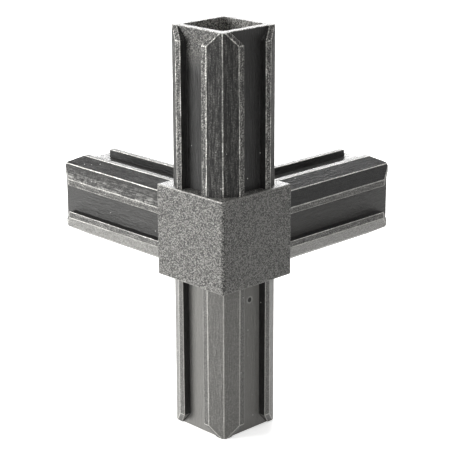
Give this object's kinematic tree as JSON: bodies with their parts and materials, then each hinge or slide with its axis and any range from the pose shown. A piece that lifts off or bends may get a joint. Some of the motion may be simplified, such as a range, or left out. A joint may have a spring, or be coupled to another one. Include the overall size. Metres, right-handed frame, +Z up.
{
  "type": "square tube connector",
  "caption": "Moulded corner connector for square metal tube: a cubic hub with ribbed hollow legs up, down and to two sides, each pressed into a tube's end.",
  "frame": {"origin": "middle of the underside of the part's bounding box, with the lower leg's tip on the plane z = 0 and the hub's centre at x = 21.1 mm, y = -21.1 mm, z = 54.75 mm", "axes": "+Z up along the two upright legs, -X along the left leg, +Y along the back leg, so the hub's bare faces look along +X and -Y"},
  "size_m": [0.0672, 0.0672, 0.1095],
  "materials": {
    "moulded_nylon": "black glass-filled nylon as moulded, finely speckled, semi-matt with a gloss at low angles"
  },
  "bodies": {
    "root": {"connector_body": "moulded_nylon"}
  },
  "joints": []
}
